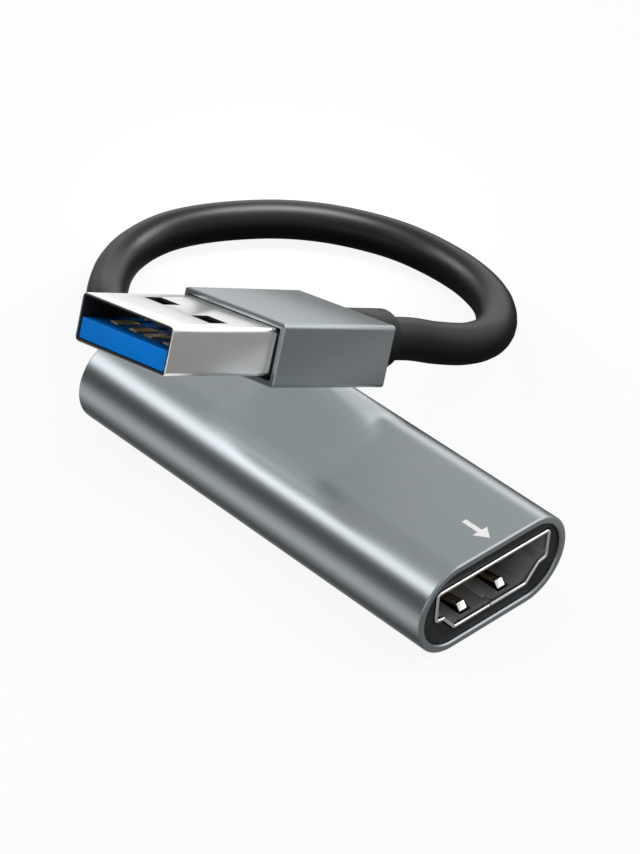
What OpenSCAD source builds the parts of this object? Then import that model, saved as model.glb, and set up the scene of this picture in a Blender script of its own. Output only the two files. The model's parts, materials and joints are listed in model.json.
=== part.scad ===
// Video capture stick: a flat aluminium sleeve with a video socket at its front
// and a short captive cord at its rear that ends in a data plug.
// Millimetres. X is the width, Y the length with the socket at -Y, Z is up.
// The origin lies under the middle of the sleeve, on the surface it rests on.

/* [Body] */
// Width of the sleeve, outside
body_w = 19.2; // [18.8:0.1:26]
// Height of the sleeve, outside; its sides are half round
body_h = 9.4; // [9:0.1:13]
// Length of the sleeve
body_l = 46; // [42:0.5:70]
// Wall of the sleeve
body_wall = 0.8; // [0.6:0.05:1]
// Bevel round the sleeve's two ends
body_bevel = 0.15; // [0.1:0.05:0.4]
// How far the bezel and the cap sit inside the sleeve's ends
end_recess = 0.3; // [0.1:0.05:0.6]
// Clearance round pieces that are pushed into another
fit_gap = 0.05; // [0.02:0.01:0.1]

/* [Bezel and cap] */
// Thickness of the bezel's face
bezel_t = 0.7; // [0.5:0.05:0.8]
// Wall of the bezel's skirt along the sleeve
skirt_t = 0.5; // [0.4:0.05:0.6]
// Length of the bezel's skirt
skirt_l = 2.6; // [1:0.1:4]
// Thickness of the rear cap
cap_t = 3; // [2:0.1:4]
// Width of each prong of the cap
prong_w = 1.9; // [1.6:0.05:2.2]
// Height of each prong of the cap
prong_h = 3; // [2.4:0.1:3.4]
// Length of board that the prongs hold
prong_grip = 3.5; // [2:0.1:4]

/* [Video socket] */
// Distance from the shell's wide side to the sleeve's outside, on each side
socket_margin = 2.2; // [2.1:0.05:2.4]
// Height of the socket's shell
socket_h = 5.3; // [5:0.1:5.6]
// Height of the shell's upright sides
socket_side = 3.35; // [3:0.05:3.6]
// Inset of the step below the upright sides
socket_step = 1.1; // [0.8:0.05:1.4]
// Width of the shell's narrow side
socket_floor_w = 9.5; // [9:0.1:10.5]
// Sheet thickness of the shell
socket_sheet = 0.35; // [0.25:0.05:0.4]
// Length of the shell
socket_l = 11; // [10:0.1:13]
// How far the shell's rim lies behind the sleeve's front
socket_recess = 0.1; // [0:0.05:0.25]
// Length of the shell's two solder tabs beside the board
socket_tab_l = 3; // [2:0.1:4]
// Height of the shell's solder tabs
socket_tab_h = 2; // [1.6:0.1:2.4]
// Room between the contact tongue's side and the shell's inside
tongue_side = 1.2; // [0.9:0.05:1.5]
// How far the tongue lies behind the rim
tongue_recess = 2.5; // [2:0.1:3]
// Free length of the tongue
tongue_l = 4.2; // [3.8:0.1:4.8]
// Pitch of the contacts in one row
contact_pitch = 1; // [0.9:0.05:1.1]
// Width of a contact
contact_w = 0.45; // [0.3:0.05:0.6]
// Thickness of a contact
contact_t = 0.15; // [0.1:0.05:0.2]
// Number of contacts in the upper row; the lower row has one less
upper_contacts = 10; // [8:1:11]
// Length of the contact tails on the board
contact_tail = 2; // [1.5:0.1:2.4]

/* [Spring fingers] */
// Distance of each spring finger from the middle
finger_x = 2.5; // [2:0.1:3.2]
// Width of a spring finger
finger_w = 0.95; // [0.8:0.05:1.4]
// Distance of a finger's free tip behind the rim
finger_tip = 1.05; // [1:0.05:1.4]
// Length of the finger's sloped tip
finger_slope = 0.5; // [0.4:0.05:0.9]
// Length of a finger from its tip to its root
finger_l = 4.4; // [4:0.1:4.8]
// Rise of a finger above the socket's floor
finger_rise = 0.65; // [0.4:0.05:0.7]
// Cut round each finger
finger_slot = 0.25; // [0.2:0.05:0.35]

/* [Board] */
// Thickness of the board, and of the tongue that it lines up with
board_t = 1.2; // [1:0.1:1.4]
// Room between the board's edge and the sleeve's inside
board_margin = 0.5; // [0.3:0.05:0.8]
// Side of the square capture chip
chip_w = 8; // [7:0.5:9]
// Height of the capture chip
chip_h = 0.85; // [0.7:0.05:1.2]

/* [Cord] */
// Diameter of the cord
cord_d = 4.2; // [3.8:0.1:4.4]
// Diameter of the strain relief and of the plug's collar
relief_d = 5.8; // [5.4:0.1:6.4]
// How far the strain relief stands out of the sleeve's rear
relief_out = 2; // [1:0.1:3]
// Room between the strain relief's inner flange and the sleeve's inside
flange_gap = 0.3; // [0.2:0.05:0.5]
// Thickness of that flange
flange_t = 1.5; // [1:0.1:2]
// Diameter of a wire inside the cord
wire_d = 0.8; // [0.6:0.05:0.85]

/* [Data plug] */
// Width of the plug's metal shell
plug_w = 12; // [11.8:0.1:12.2]
// Height of the plug's metal shell
plug_h = 4.5; // [4.4:0.05:4.6]
// Sheet thickness of the plug's shell
plug_sheet = 0.3; // [0.25:0.05:0.35]
// Length of shell that stands out of the housing
plug_out = 13; // [12:0.1:14]
// Length of shell inside the housing
plug_in = 5.8; // [5:0.1:7]
// Room beside the shell inside the plug's housing
housing_gap = 0.15; // [0.05:0.05:0.4]
// Length of the plug's housing
housing_l = 14.8; // [14:0.1:18]
// Wall of the plug's housing above and below
housing_wall = 0.55; // [0.4:0.05:0.7]
// Wall of the plug's housing at its two sides
housing_side = 0.5; // [0.3:0.05:0.7]
// Radius of the housing's long edges
housing_round = 0.5; // [0.3:0.05:0.7]
// How far the housing's middle lies below the shell's middle
housing_drop = 0.15; // [0.05:0.05:0.15]
// How far the collar stands out behind the housing
collar_out = 6; // [4:0.1:7]
// Length of the collar's root inside the housing
collar_root = 2; // [1.5:0.1:3]
// Gap between the plug's lowest corner and the sleeve's top
plug_gap = 0.1; // [0.05:0.05:1]

/* [Hidden] */
$fn = 96;

// Sleeve
mid_z = body_h / 2;
front_y = -body_l / 2;
rear_y = body_l / 2;
inner_w = body_w - 2 * body_wall;
inner_h = body_h - 2 * body_wall;
past = 1; // how far a cut runs past the faces it opens

// Socket: its profile, seen from the front, and its stations along Y
socket_w = body_w - 2 * socket_margin;
socket_y = front_y + socket_recess;
socket_rear = socket_y + socket_l;
socket_gap = 0.1; // clearance of the bezel's opening round the shell
socket_bend = 0.5; // outside radius of the shell's bends
step_slope = 0.2; // drop of the step across its width
socket_half = [
    [socket_w / 2, socket_h / 2],
    [socket_w / 2, socket_h / 2 - socket_side],
    [socket_w / 2 - socket_step, socket_h / 2 - socket_side - step_slope],
    [socket_floor_w / 2, -socket_h / 2]
];
socket_profile = concat(socket_half, [for (i = [3:-1:0]) [-socket_half[i][0], socket_half[i][1]]]);
tongue_w = socket_w - 2 * (socket_sheet + tongue_side);
tongue_y = socket_y + tongue_recess;
block_y = tongue_y + tongue_l; // front of the insulator's block
block_gap = 0.1; // from the block's rear to the shell's rear edge
slot_gap = 0.02; // clearance of a contact in its slot
contact_start = 0.2; // from the tongue's front to a contact's tip

// Spring fingers: hinge line at the root, in the middle of the sheet
floor_z = mid_z - socket_h / 2 + socket_sheet;
finger_y = socket_y + finger_tip;
root_y = finger_y + finger_l;
root_gap = 0.05;
tip_rise = 0.05; // the tip ends this far above the floor

// Board: wide in the middle, narrower between the tabs and between the prongs
board_front = socket_rear;
wire_room = 0.7; // from the cord's end to the board's rear edge
cap_y = rear_y - end_recess - cap_t;
cord_in_y = cap_y - flange_t;
board_rear = cord_in_y - wire_room;
board_half = inner_w / 2 - board_margin;
tab_gap = 0.1; // room between the board's edge and a solder tab
neck_half = socket_w / 2 - socket_sheet - tab_gap;
neck_l = socket_tab_l + 2 * tab_gap;
prong_depth = 1; // depth of the prong's groove
ear_half = board_half - prong_depth;
ear_room = 0.3; // from a prong's tip to the step in the board's edge
ear_l = prong_grip + ear_room;
board_top = mid_z + board_t / 2;
board_low = mid_z - board_t / 2;

// Parts on the board: [x, distance behind the board's front edge]
surge_size = [2.5, 1, 0.55];
surge_pitch = 4;
surge_row = 3.6;
surge_at = [for (i = [-1:1]) [i * surge_pitch, surge_row]];
chip_at = [0, 9.6];
crystal_size = [2.5, 3.2, 0.8];
crystal_inset = 1.9; // from the board's edge to the crystal's middle
crystal_at = [board_half - crystal_inset, 11.6];
flash_size = [3.9, 4.9, 1.45];
flash_at = [-3.6, 17.4];
flash_pitch = 1.27;
regulator_size = [1.6, 2.9, 1.1];
regulator_at = [1.6, 16.2];
regulator_pitch = 0.95;
lead_w = 0.4;
lead_t = 0.2;
lead_foot = 0.5;
lead_reach = 0.55;
inductor_w = 3;
inductor_h = 1.3;
drum_inset = 0.1; // from the edge of an inductor's foot to its drum
inductor_inset = 2.2; // from the board's edge to an inductor's middle
inductor_at = [for (d = [15.4, 18.9]) [board_half - inductor_inset, d]];
cap_size = [0.8, 1.6, 0.8];
small_row = 6.6; // first row of the capacitors and resistors beside the chip
small_pitch = 2; // spacing of those rows, and of the capacitors below the board
cap_inset = 2.7; // from the board's edge to a column of capacitors
cap_column = board_half - cap_inset;
caps_top = concat(
    [for (i = [0:3]) [-cap_column, small_row + i * small_pitch]],
    [for (i = [0:1]) [cap_column, small_row + i * small_pitch]]);
low_rows = [8, 12];
caps_low = concat(
    [for (i = [-1.5:1.5]) [i * small_pitch, low_rows[0]]],
    [for (i = [-1.5, 1.5]) [i * small_pitch, low_rows[1]]]);
resistor_size = [0.8, 1.6, 0.45];
resistor_inset = 1.3; // from the board's edge to a column of resistors
resistor_column = board_half - resistor_inset;
rear_row = 20.2; // row of the two resistors behind the regulator
rear_pitch = 1.2; // spacing of those two
resistors_top = concat(
    [for (i = [1, 2]) [-resistor_column, small_row + i * small_pitch]],
    [[resistor_column, small_row + small_pitch]],
    [for (i = [1, 2]) [i * rear_pitch, rear_row]]);
pad_size = [1.4, 2.2, 0.1];
pad_inset = 0.3; // from the pads to the board's rear edge
wire_pitch_cord = 0.9; // spacing of the wires where they leave the cord
wire_pitch_pads = 2.4; // spacing of the wires at the pads

// Plug: its own frame has X from the mouth to the tail and Z up
plug_turn = [-12, 22.5, -4];
plug_bend = 0.5; // outside radius of the shell's long edges
plug_seat = plug_out + plug_in;
plug_tail = plug_out + housing_l;
plug_cord_x = plug_tail - collar_root;
window_size = [2, 2.5];
window_at = [6.95, 3.1];
bore_w = plug_w + 2 * housing_gap;
bore_h = plug_h + 2 * (housing_drop + fit_gap);
bore_round = 0.2; // radius of the bore's long edges
housing_w = bore_w + 2 * housing_side;
housing_h = bore_h + 2 * housing_wall;
plug_tongue_t = 1.9;
plug_tongue_l = 11;
plug_tongue_front = 0.1; // from the mouth to the tongue's front
plug_block_l = 7.2; // length of the insulator's block behind the tongue
plug_tongue_top = -plug_h / 2 + plug_sheet + fit_gap + plug_tongue_t;
plug_contact_y = [-3.5, -1, 1, 3.5];
plug_contact_w = 1;
plug_contact_from = 2;
plug_contact_to = 4.7;
plug_contact_sink = 0.9; // depth of the buried part of a contact
plug_tail_l = 2; // contact tails behind the insulator
rear_contact_y = [-4, -2, 0, 2, 4];
rear_contact_w = 0.6;
rear_contact_lift = 0.6; // height of the rear contacts above the tongue
rear_contact_bump = 0.4;
rear_contact_hook = 0.1; // rise of the tip
rear_contact_x = [5.8, 5.1, 0.6]; // tip, bump and end of the bend, in front of the block
housing_bevel = 0.1;
collar_bevel = 0.4;
spacer_wall = [1.2, 0.8]; // walls of the spacer across and up

function turn_x(v, a) = [v[0], v[1] * cos(a) - v[2] * sin(a), v[1] * sin(a) + v[2] * cos(a)];
function turn_y(v, a) = [v[0] * cos(a) + v[2] * sin(a), v[1], v[2] * cos(a) - v[0] * sin(a)];
function turn_z(v, a) = [v[0] * cos(a) - v[1] * sin(a), v[0] * sin(a) + v[1] * cos(a), v[2]];
function plug_turned(v) = turn_z(turn_y(turn_x(v, plug_turn[0]), plug_turn[1]), plug_turn[2]);

// The plug lies across the sleeve: the housing's lowest corner sits just above the sleeve's top
low_corner = plug_turned([plug_tail, housing_w / 2, -housing_drop - housing_h / 2]);
plug_at = [-18.48, 6.63]; // place of the middle of the plug's mouth over the surface
plug_mouth = [plug_at[0], plug_at[1], body_h + plug_gap - low_corner[2]];
function plug_point(v) = plug_mouth + plug_turned(v);

// Cord: out of the strain relief, down to the surface, round the right side and up into the plug
flange_d = inner_h - 2 * flange_gap;
cord_sides = 12;
cord_gap = 0.05; // clearance of the cord in its bores
cord_lead = 4; // straight run of the cord behind the plug's collar
cord_free = [
    [0.5, 28.2, 4.6], [1.7, 31.3, 4.3], [3.7, 34.2, 3.8], [6.3, 36.9, 3.1],
    [9.2, 39.3, 2.6], [12.3, 41, 2.3], [15.6, 41.8, 2.2], [19, 41.7, 2.2],
    [22.5, 40.6, 2.2], [26.2, 38.6, 2.2], [29.7, 36, 2.2], [32.6, 32.8, 2.2],
    [34.9, 29, 2.2], [36.6, 24.6, 2.2], [37.3, 19.6, 2.2], [36.6, 14.4, 2.6],
    [34.5, 9.7, 3.3], [31.2, 6, 4.2], [27.5, 3.8, 5.2], [23.6, 3.2, 6.4], [19.8, 3.7, 7.9]
];
cord_box_end = [for (y = [cord_in_y, rear_y, rear_y + relief_out]) [0, y, mid_z]];
collar_end = plug_tail + collar_out;
cord_plug_end = [for (x = [collar_end + cord_lead, collar_end, plug_tail, plug_cord_x])
    plug_point([x, 0, -housing_drop])];
cord_route = concat(cord_box_end, cord_free, cord_plug_end);

// Profiles

function unit(v) = v / norm(v);
function left_of(v) = [-v[1], v[0]];

// The corner of two edges that are each moved inwards by t; points run clockwise
function inset_corner(a, b, c, t) =
    let (u = unit(b - a), w = unit(c - b), n = left_of(u), m = left_of(w))
    b - t * (n + m) / (1 + n * m);

function inset(points, t) =
    let (n = len(points))
    [for (i = [0:n - 1]) inset_corner(points[(i + n - 1) % n], points[i], points[(i + 1) % n], t)];

// Rounds every corner of an outline with an arc of radius r, in steps
function rounded(points, r, steps = 5) =
    let (n = len(points))
    [for (i = [0:n - 1])
        let (
            b = points[i],
            u = unit(points[(i + n - 1) % n] - b),
            w = unit(points[(i + 1) % n] - b),
            half = acos(u * w) / 2,
            centre = b + unit(u + w) * r / sin(half),
            from = b + u * r / tan(half) - centre,
            to = b + w * r / tan(half) - centre
        )
        for (k = [0:steps])
            let (s = k / steps, mix = from * (1 - s) + to * s)
            centre + r * unit(mix)
    ];

module stadium(w, h) {
    square([w - h, h], center = true);
    for (side = [-1, 1]) translate([side * (w - h) / 2, 0]) circle(d = h);
}

function box_points(w, h) = [[w / 2, h / 2], [w / 2, -h / 2], [-w / 2, -h / 2], [-w / 2, h / 2]];

module round_box(w, h, r) {
    polygon(rounded(box_points(w, h), r));
}

module socket_outline(grow, r) {
    polygon(rounded(inset(socket_profile, -grow), r));
}

// Extrudes a profile of X and Z along the body's length, from y0 to y1
module along_body(y0, y1) {
    translate([0, y1, mid_z]) rotate([90, 0, 0]) linear_extrude(y1 - y0) children();
}

// Extrudes a profile of Y and Z along the plug, from x0 to x1, in the plug's frame
module along_plug(x0, x1, z = 0) {
    translate([x0, 0, z]) rotate([90, 0, 90]) linear_extrude(x1 - x0) children();
}

// Extrudes a side view of X and Z across the plug, with width w about y
module across_plug(y, w) {
    translate([0, y + w / 2, 0]) rotate([90, 0, 0]) linear_extrude(w) children();
}

module in_plug() {
    translate(plug_mouth) rotate(plug_turn) children();
}

module rod(a, b, d) {
    v = b - a;
    translate(a) rotate([0, acos(v[2] / norm(v)), atan2(v[1], v[0])]) cylinder(h = norm(v), d = d);
}

// A box that stands on the board's top, or hangs below it
module on_board(at, size, side = 1) {
    z = side > 0 ? board_top : board_low - size[2];
    translate([at[0] - size[0] / 2, board_front + at[1] - size[1] / 2, z]) cube(size);
}

// A gull-wing lead: out of a side at height h, down, and along the board
module gull_lead(h) {
    rotate([90, 0, 0]) translate([0, 0, -lead_w / 2]) linear_extrude(lead_w) polygon([
        [0, h], [lead_reach, h], [lead_reach, lead_t], [lead_reach + lead_foot, lead_t],
        [lead_reach + lead_foot, 0], [lead_reach - lead_t, 0],
        [lead_reach - lead_t, h - lead_t], [0, h - lead_t]
    ]);
}

// Body

// A bar with half-round sides and a bevel round both ends
module bevelled_bar(w, h, l, bevel) {
    end = [
        [0, -l / 2], [h / 2 - bevel, -l / 2], [h / 2, bevel - l / 2],
        [h / 2, l / 2 - bevel], [h / 2 - bevel, l / 2], [0, l / 2]
    ];
    whole = concat(end, [for (i = [4:-1:1]) [-end[i][0], end[i][1]]]);
    rotate([90, 0, 90]) linear_extrude(w - h, center = true)
        polygon([for (p = whole) [p[1], p[0]]]);
    for (side = [0, 180]) rotate([0, side, 0]) translate([(w - h) / 2, 0, 0])
        rotate([-90, 0, 0]) rotate([0, 0, -90]) rotate_extrude(angle = 180) polygon(end);
}

module body_sleeve() {
    color("slategray") difference() {
        translate([0, 0, mid_z]) bevelled_bar(body_w, body_h, body_l, body_bevel);
        along_body(front_y - past, rear_y + past) stadium(inner_w, inner_h);
    }
}

module front_bezel() {
    face_y = front_y + end_recess;
    color([0.13, 0.13, 0.14]) difference() {
        along_body(face_y, face_y + bezel_t + skirt_l)
            stadium(inner_w - 2 * fit_gap, inner_h - 2 * fit_gap);
        along_body(face_y + bezel_t, face_y + bezel_t + skirt_l + past)
            stadium(inner_w - 2 * fit_gap - 2 * skirt_t, inner_h - 2 * fit_gap - 2 * skirt_t);
        along_body(face_y - past, face_y + bezel_t + skirt_l + past)
            socket_outline(socket_gap, socket_bend + socket_gap);
    }
}

module rear_cap() {
    groove = board_t + 2 * fit_gap;
    prong_y = board_rear - prong_grip;
    prong_x = ear_half + fit_gap + prong_depth - prong_w;
    color([0.13, 0.13, 0.14]) difference() {
        union() {
            along_body(cap_y, cap_y + cap_t) stadium(inner_w - 2 * fit_gap, inner_h - 2 * fit_gap);
            for (side = [0, 1]) mirror([side, 0, 0])
                translate([prong_x, prong_y, mid_z - prong_h / 2])
                    cube([prong_w, cap_y + past - prong_y, prong_h]);
        }
        for (side = [0, 1]) mirror([side, 0, 0])
            translate([prong_x - past, prong_y - past, mid_z - groove / 2])
                cube([ear_half + fit_gap - prong_x + past, board_rear + fit_gap - prong_y + past, groove]);
        along_body(cap_y - past, cap_y + cap_t + past) circle(d = relief_d + 2 * fit_gap);
    }
}

// Video socket

module socket_shell() {
    slot_w = finger_w + 2 * finger_slot;
    tab_z = mid_z - socket_tab_h / 2;
    color("silver") difference() {
        union() {
            along_body(socket_y, socket_rear) difference() {
                socket_outline(0, socket_bend);
                socket_outline(-socket_sheet, socket_bend - socket_sheet);
            }
            for (side = [0, 1]) mirror([side, 0, 0])
                translate([socket_w / 2 - socket_sheet, socket_rear - past, tab_z])
                    cube([socket_sheet, socket_tab_l + past, socket_tab_h]);
        }
        for (x = [-finger_x, finger_x])
            translate([x - slot_w / 2, finger_y - finger_slot, floor_z - socket_sheet - past])
                cube([slot_w, finger_l + finger_slot, socket_sheet + 2 * past]);
    }
}

// One row of contacts: straight strips on the tongue, through the block and onto the board
module contact_row(count, z, gap = 0) {
    y0 = tongue_y + contact_start;
    for (i = [0:count - 1])
        translate([(i - (count - 1) / 2) * contact_pitch - contact_w / 2 - gap, y0, z - gap])
            cube([contact_w + 2 * gap, board_front + contact_tail - y0, contact_t + 2 * gap]);
}

module socket_insulator() {
    block_end = socket_rear - block_gap;
    color([0.16, 0.16, 0.17]) difference() {
        union() {
            along_body(block_y, block_end)
                socket_outline(-socket_sheet - fit_gap, socket_bend - socket_sheet);
            translate([-tongue_w / 2, tongue_y, board_low]) cube([tongue_w, tongue_l + past, board_t]);
        }
        translate([0, block_y - tongue_y - contact_start, 0]) {
            contact_row(upper_contacts, board_top, slot_gap);
            contact_row(upper_contacts - 1, board_low - contact_t, slot_gap);
        }
    }
}

module socket_upper_contacts() {
    color("goldenrod") contact_row(upper_contacts, board_top);
}

module socket_lower_contacts() {
    color("goldenrod") contact_row(upper_contacts - 1, board_low - contact_t);
}

// A finger cut from the shell's floor: it rises from its root to a crest and slopes down to its tip
module spring_finger(x) {
    crest_y = finger_y + finger_slope;
    color("whitesmoke") translate([x - finger_w / 2, 0, 0]) rotate([90, 0, 90])
        linear_extrude(finger_w) polygon([
            [root_y - root_gap, floor_z - socket_sheet], [root_y - root_gap, floor_z],
            [crest_y, floor_z + finger_rise], [finger_y, floor_z + tip_rise],
            [finger_y, floor_z + tip_rise - socket_sheet], [crest_y, floor_z + finger_rise - socket_sheet]
        ]);
}

module spring_finger_left() {
    spring_finger(-finger_x);
}

module spring_finger_right() {
    spring_finger(finger_x);
}

// Board and what is soldered to it

module main_board() {
    outline = [
        [neck_half, board_front], [neck_half, board_front + neck_l],
        [board_half, board_front + neck_l], [board_half, board_rear - ear_l],
        [ear_half, board_rear - ear_l], [ear_half, board_rear]
    ];
    color("darkgreen") translate([0, 0, board_low]) linear_extrude(board_t)
        polygon(concat(outline, [for (i = [5:-1:0]) [-outline[i][0], outline[i][1]]]));
}

module surge_arrays() {
    color([0.1, 0.1, 0.1]) for (at = surge_at) on_board(at, surge_size);
}

module capture_chip() {
    color([0.1, 0.1, 0.1]) on_board(chip_at, [chip_w, chip_w, chip_h]);
}

module crystal() {
    lid = [0.3, 0.3, 0.25]; // step round the lid and the lid's height
    color("gainsboro") {
        on_board(crystal_at, crystal_size - [0, 0, lid[2]]);
        translate([0, 0, crystal_size[2] - lid[2]])
            on_board(crystal_at, [crystal_size[0] - 2 * lid[0], crystal_size[1] - 2 * lid[1], lid[2]]);
    }
}

module flash_chip() {
    color([0.1, 0.1, 0.1]) translate([0, 0, lead_t]) on_board(flash_at, flash_size);
}

module flash_leads() {
    color("silver") for (side = [0, 180], i = [0:3])
        translate([flash_at[0], board_front + flash_at[1], board_top]) rotate([0, 0, side])
            translate([flash_size[0] / 2, (i - 1.5) * flash_pitch, 0]) gull_lead(lead_t + flash_size[2] / 2);
}

module regulator() {
    color([0.1, 0.1, 0.1]) translate([0, 0, lead_t]) on_board(regulator_at, regulator_size);
}

module regulator_leads() {
    color("silver") for (lead = [[0, -1], [0, 0], [0, 1], [1, -1], [1, 1]])
        translate([regulator_at[0], board_front + regulator_at[1], board_top]) mirror([lead[0], 0, 0])
            translate([regulator_size[0] / 2, lead[1] * regulator_pitch, 0])
                gull_lead(lead_t + regulator_size[2] / 2);
}

// A square foot under a round drum
module power_inductors() {
    foot = 0.4;
    color("dimgray") for (at = inductor_at) {
        on_board(at, [inductor_w, inductor_w, foot]);
        translate([at[0], board_front + at[1], board_top + foot / 2])
            cylinder(h = inductor_h - foot / 2, d = inductor_w - 2 * drum_inset);
    }
}

module capacitors() {
    color("tan") {
        for (at = caps_top) on_board(at, cap_size);
        for (at = caps_low) on_board(at, cap_size, -1);
    }
}

module resistors() {
    color("black") for (at = resistors_top) on_board(at, resistor_size);
}

function pad_y() = board_rear - pad_inset - pad_size[1] / 2;

module wire_pads() {
    color("gold") for (i = [-1.5:1:1.5])
        translate([i * wire_pitch_pads - pad_size[0] / 2, pad_y() - pad_size[1] / 2, board_top])
            cube(pad_size);
}

wire_lift = 0.02; // clearance under a wire
wire_start = 0.35; // from the cord's end face to a wire

// The wires fan out from the cord's end to the pads
module box_wire(index, tint) {
    place = index - 1.5;
    z = board_top + pad_size[2] + wire_lift + wire_d / 2;
    color(tint) rod(
        [place * wire_pitch_cord, cord_in_y - wire_start, z],
        [place * wire_pitch_pads, pad_y(), z], wire_d);
}

module wire_red() {
    box_wire(0, "firebrick");
}

module wire_white() {
    box_wire(1, "white");
}

module wire_green() {
    box_wire(2, "seagreen");
}

module wire_black() {
    box_wire(3, "black");
}

// Cord

// A sleeve on the cord with a flange behind the cap and a bevelled free end
module strain_relief() {
    out = rear_y + relief_out;
    bore = cord_d / 2 + cord_gap;
    color([0.13, 0.13, 0.14]) translate([0, 0, mid_z]) rotate([-90, 0, 0]) rotate_extrude() polygon([
        [bore, cord_in_y], [flange_d / 2, cord_in_y], [flange_d / 2, cap_y], [relief_d / 2, cap_y],
        [relief_d / 2, out - collar_bevel], [relief_d / 2 - collar_bevel, out], [bore, out]
    ]);
}

function route_way(i) =
    unit(cord_route[min(i + 1, len(cord_route) - 1)] - cord_route[max(i - 1, 0)]);

function cord_ring(i) =
    let (way = route_way(i), across = unit(cross(way, [0, 0, 1])), up = cross(across, way))
    [for (k = [0:cord_sides - 1])
        let (a = 360 * k / cord_sides)
        cord_route[i] + cord_d / 2 * (cos(a) * across + sin(a) * up)];

module cord() {
    n = cord_sides;
    rings = len(cord_route);
    skin = [for (i = [0:rings - 2], k = [0:n - 1])
        let (a = i * n + k, b = i * n + (k + 1) % n)
        each [[a, a + n, b + n], [a, b + n, b]]];
    ends = [[for (k = [0:n - 1]) k], [for (k = [n - 1:-1:0]) (rings - 1) * n + k]];
    color([0.12, 0.12, 0.13])
        polyhedron([for (i = [0:rings - 1]) each cord_ring(i)], concat(skin, ends));
}

// Data plug

// A bar with round long edges and a bevel round its two ends
module housing_bar() {
    half_w = housing_w / 2;
    half_h = housing_h / 2;
    ends = [plug_out, plug_tail];
    function bevelled(half) = [
        [ends[0], half - housing_bevel], [ends[0] + housing_bevel, half],
        [ends[1] - housing_bevel, half], [ends[1], half - housing_bevel],
        [ends[1], housing_bevel - half], [ends[1] - housing_bevel, -half],
        [ends[0] + housing_bevel, -half], [ends[0], housing_bevel - half]
    ];
    intersection() {
        along_plug(ends[0], ends[1]) round_box(housing_w, housing_h, housing_round);
        across_plug(0, housing_w + past) polygon(bevelled(half_h));
        translate([0, 0, -half_h - past]) linear_extrude(housing_h + 2 * past) polygon(bevelled(half_w));
    }
}

module plug_housing() {
    color("slategray") in_plug() difference() {
        translate([0, 0, -housing_drop]) housing_bar();
        along_plug(plug_out - past, plug_tail + past, -housing_drop) round_box(bore_w, bore_h, bore_round);
    }
}

module plug_shell() {
    color("gainsboro") in_plug() difference() {
        along_plug(0, plug_seat) difference() {
            round_box(plug_w, plug_h, plug_bend);
            round_box(plug_w - 2 * plug_sheet, plug_h - 2 * plug_sheet, plug_bend - plug_sheet);
        }
        for (side = [-1, 1])
            translate([window_at[0], side * window_at[1], 0])
                cube([window_size[0], window_size[1], plug_h + past], center = true);
    }
}

// Side view of a front contact: flat on the tongue, then stepped down and buried to its tail
module front_contact(gap = 0) {
    top = plug_tongue_top + contact_t + gap;
    low = plug_tongue_top - plug_contact_sink - gap;
    bend = plug_contact_to + gap;
    buried = contact_t + 2 * gap;
    tail = plug_tongue_l + plug_block_l + plug_tail_l;
    polygon([
        [plug_contact_from, plug_tongue_top], [plug_contact_from, top], [bend, top], [bend, low + buried],
        [tail, low + buried], [tail, low], [bend - buried, low], [bend - buried, plug_tongue_top]
    ]);
}

// Side view of a rear contact: a bent tip in front of the block, then straight through it
module rear_contact(gap = 0) {
    base = plug_tongue_top + rear_contact_lift;
    tail = plug_tongue_l + plug_block_l + plug_tail_l / 2;
    under = [
        [plug_tongue_l - rear_contact_x[0], base + rear_contact_hook],
        [plug_tongue_l - rear_contact_x[1], base - rear_contact_bump],
        [plug_tongue_l - rear_contact_x[2], base], [tail, base]
    ];
    polygon(concat(
        [for (p = under) p - [0, gap]],
        [for (i = [3:-1:0]) under[i] + [0, contact_t + gap]]));
}

module plug_front_contacts() {
    color("goldenrod") in_plug()
        for (y = plug_contact_y) across_plug(y, plug_contact_w) front_contact();
}

module plug_rear_contacts() {
    color("goldenrod") in_plug()
        for (y = rear_contact_y) across_plug(y, rear_contact_w) rear_contact();
}

module plug_insulator() {
    inside_w = plug_w - 2 * plug_sheet - 2 * fit_gap;
    inside_h = plug_h - 2 * plug_sheet - 2 * fit_gap;
    inside_bend = plug_bend - plug_sheet;
    color("royalblue") in_plug() difference() {
        union() {
            along_plug(plug_tongue_front, plug_tongue_l + past) intersection() {
                round_box(inside_w, inside_h, inside_bend);
                translate([-inside_w / 2, plug_tongue_top - plug_tongue_t]) square([inside_w, plug_tongue_t]);
            }
            along_plug(plug_tongue_l, plug_tongue_l + plug_block_l)
                round_box(inside_w, inside_h, inside_bend);
        }
        for (y = plug_contact_y) across_plug(y, plug_contact_w + 2 * slot_gap) intersection() {
            front_contact(slot_gap);
            translate([0, plug_tongue_top - plug_h]) square([plug_seat + plug_tail_l + past, plug_h]);
        }
        for (y = rear_contact_y) across_plug(y, rear_contact_w + 2 * slot_gap) rear_contact(slot_gap);
    }
}

// A rectangular tube between the shell and the collar, with the soldered wires inside it
module plug_spacer() {
    out_w = bore_w - 2 * fit_gap;
    out_h = bore_h - 2 * fit_gap;
    color([0.2, 0.2, 0.21]) in_plug()
        along_plug(plug_seat + fit_gap, plug_cord_x, -housing_drop) difference() {
            round_box(out_w, out_h, bore_round);
            square([out_w - 2 * spacer_wall[0], out_h - 2 * spacer_wall[1]], center = true);
        }
}

module plug_collar() {
    bore = cord_d / 2 + cord_gap;
    color([0.13, 0.13, 0.14]) in_plug() translate([0, 0, -housing_drop]) difference() {
        union() {
            along_plug(plug_cord_x, plug_tail)
                round_box(bore_w - 2 * fit_gap, bore_h - 2 * fit_gap, bore_round);
            rotate([0, 90, 0]) rotate_extrude() polygon([
                [0, plug_tail], [relief_d / 2, plug_tail], [relief_d / 2, collar_end - collar_bevel],
                [relief_d / 2 - collar_bevel, collar_end], [0, collar_end]
            ]);
        }
        translate([plug_cord_x - past, 0, 0]) rotate([0, 90, 0])
            cylinder(h = collar_root + collar_out + 2 * past, r = bore);
    }
}

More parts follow.
